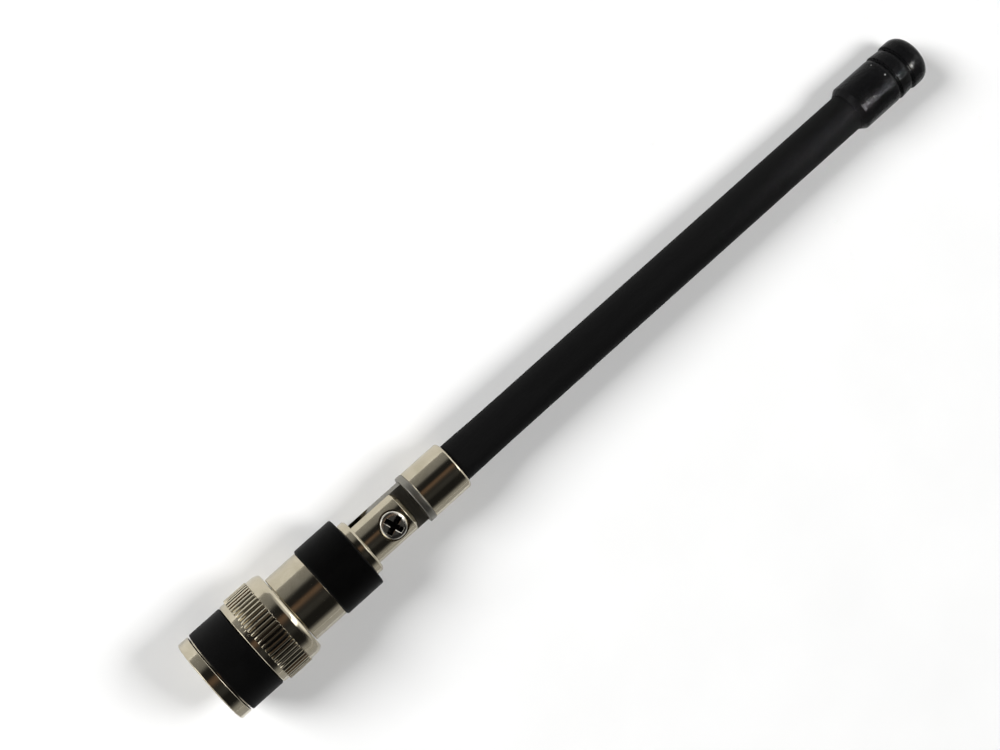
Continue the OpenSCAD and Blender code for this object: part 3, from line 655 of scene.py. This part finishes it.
bpy.ops.object.mode_set(mode="OBJECT")
for rim in pivot_screw.data.edges:
    ends = [pivot_screw.data.vertices[corner].co for corner in rim.vertices]
    at_mouth = [
        end.z > head_top - recess_rim_depth and math.hypot(end.x, end.y) < recess_rim_reach for end in ends]
    rim.select = rim.select and all(at_mouth)
bpy.ops.object.mode_set(mode="EDIT")
bpy.ops.mesh.bevel(offset=recess_rim_bevel, segments=2, affect="EDGES")
bpy.ops.object.mode_set(mode="OBJECT")
pivot_screw.rotation_euler = (math.pi / 2, 0, 0)
pivot_screw.location = (0, 0, pivot_height)
bpy.ops.object.select_all(action="DESELECT")
pivot_screw.select_set(True)
bpy.context.view_layer.objects.active = pivot_screw
bpy.ops.object.transform_apply()
to_size(pivot_screw, screw_plate)
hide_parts("pivot_screw")
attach(pivot_screw, "plug")

# Knuckle tongue: a flat, round-ended tongue between the prongs, milled on a turned shoulder whose stem holds
# the wire, and plated with a duller nickel than the fork.
dull_plate = plated("dull_plate", (0.26, 0.25, 0.22), (0.20, 0.19, 0.165), 0.34, 7.0, relief=0.02)
tongue_t, shoulder_foot, shoulder_top, shoulder_d, shoulder_round = 2.0, 29.627, 30.677, 8.05, 0.12
tongue_hole_d, tongue_foot, tongue_top = 2.6, pivot_height - fork_d / 2 - 0.5, shoulder_foot + 0.4
stem_d, stem_top, wire_seat_d, wire_seat = 6.35, 33.077, 1.24, 31.077
knuckle_tongue = turned("tongue", [
    (0, tongue_foot), (fork_d, tongue_foot), (fork_d, tongue_top), (0, tongue_top)], edge=0)
blank = cross_pin(fork_d, -tongue_t / 2, tongue_t / 2, pivot_height)
choose(blank, lambda spot: spot.z > pivot_height + 0.001)
bpy.ops.transform.translate(value=(0, 0, 2 * fork_d))
bpy.ops.object.mode_set(mode="OBJECT")
work(knuckle_tongue, blank, "INTERSECT")
work(knuckle_tongue, cross_pin(tongue_hole_d, -tongue_t, tongue_t, pivot_height), "DIFFERENCE")
shoulder = turned("shoulder", [
    (0, shoulder_foot), (shoulder_d, shoulder_foot), (shoulder_d, shoulder_top), (stem_d, shoulder_top),
    (stem_d, stem_top), (wire_seat_d, stem_top), (wire_seat_d, wire_seat), (0, wire_seat)],
    rounds=[(shoulder_d, shoulder_foot, shoulder_round), (shoulder_d, shoulder_top, shoulder_round)])
work(knuckle_tongue, shoulder, "UNION")
to_size(knuckle_tongue, dull_plate)
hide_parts("knuckle_tongue")
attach(knuckle_tongue, "whip")

# Ferrule: a short brass tube with a rolled upper edge, turned and nickel plated. It is crimped on the foot
# of the rubber whip and sits on the tongue's shoulder.
ferrule_foot, ferrule_top, ferrule_d, ferrule_bore_d = 30.677, 37.477, 8.0, 6.39
foot_round, rolled_round = 0.1, 0.45
ferrule = turned("whip_ferrule", [
    (ferrule_bore_d, ferrule_foot), (ferrule_d, ferrule_foot), (ferrule_d, ferrule_top),
    (ferrule_bore_d, ferrule_top)],
    rounds=[(ferrule_d, ferrule_foot, foot_round), (ferrule_d, ferrule_top, rolled_round)], closed=True)
to_size(ferrule, nickel_plate)
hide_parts("ferrule")
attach(ferrule, "whip")

# Whip: a straight spring wire that radiates, soldered in the stem, inside a sheath of extruded black rubber
# that is a little fatter where it leaves the ferrule.
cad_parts["radiator_wire"].material_slots[0].material = spring_steel
sheath_rubber = rubbery(
    "sheath_rubber", (0.0046, 0.0046, 0.0047), (0.0070, 0.0070, 0.0070), 0.5, 0.028, 7.0, 0.25, stretch=12.0)
sheath_foot, sheath_top, sheath_d, wire_bore_d = 33.227, 128.377, 6.15, 1.24
swelling_d = 6.35
swelling = [
    (swelling_d, sheath_foot), (swelling_d, ferrule_top), (6.29, 40.5), (6.19, 43.5), (sheath_d, 46.477)]
sheath = turned("whip_sheath", [
    (wire_bore_d, sheath_foot), *swelling, (sheath_d, sheath_top), (wire_bore_d, sheath_top)], closed=True)
to_size(sheath, sheath_rubber)
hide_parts("sheath")
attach(sheath, "whip")

# End cap: a moulded cap of softer, grainy black rubber, glued over the sheath's end. It has a sloping foot,
# two grooves and a rounded end, and carries two specks of dust.
cap_rubber = rubbery(
    "cap_rubber", (0.0043, 0.0043, 0.0046), (0.0066, 0.0066, 0.0070), 0.15, 0.055, 2.0, 0.8,
    specks=[(-1.43, -3.575, 124.37, 0.22), (-3.44, -1.73, 124.24, 0.14)])
cap_foot, cap_top, cap_bore_d, bore_end = 117.477, 131.377, 6.19, 128.527
cap_d, cap_mid_d, cap_end_d, cap_foot_d, foot_slope = 7.7, 7.85, 7.95, 6.45, 0.9
lower_lip, upper_lip, mid_narrowing = 125.627, 128.177, 0.3
groove_w, groove_floor_w, groove_depth = 0.7, 0.2, 0.45
groove_round, end_round, cap_edge = 0.3, 1.9, 0.06
outline = [
    (0, bore_end), (cap_bore_d, bore_end), (cap_bore_d, cap_foot), (cap_foot_d, cap_foot),
    (cap_d, cap_foot + foot_slope)]
rounds = [(cap_end_d, cap_top, end_round)]
grooves = [(cap_d, cap_mid_d, lower_lip), (cap_mid_d - mid_narrowing, cap_end_d, upper_lip)]
for below_d, lip_d, lip in grooves:
    floor_d = lip_d - 2 * groove_depth
    outline += [(below_d, lip - groove_w), (floor_d, lip - groove_floor_w), (floor_d, lip), (lip_d, lip)]
    rounds += [(below_d, lip - groove_w, groove_round)]
end_cap = turned("whip_cap", outline + [(cap_end_d, cap_top), (0, cap_top)], rounds=rounds, edge=cap_edge)
to_size(end_cap, cap_rubber)
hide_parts("end_cap")
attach(end_cap, "whip")
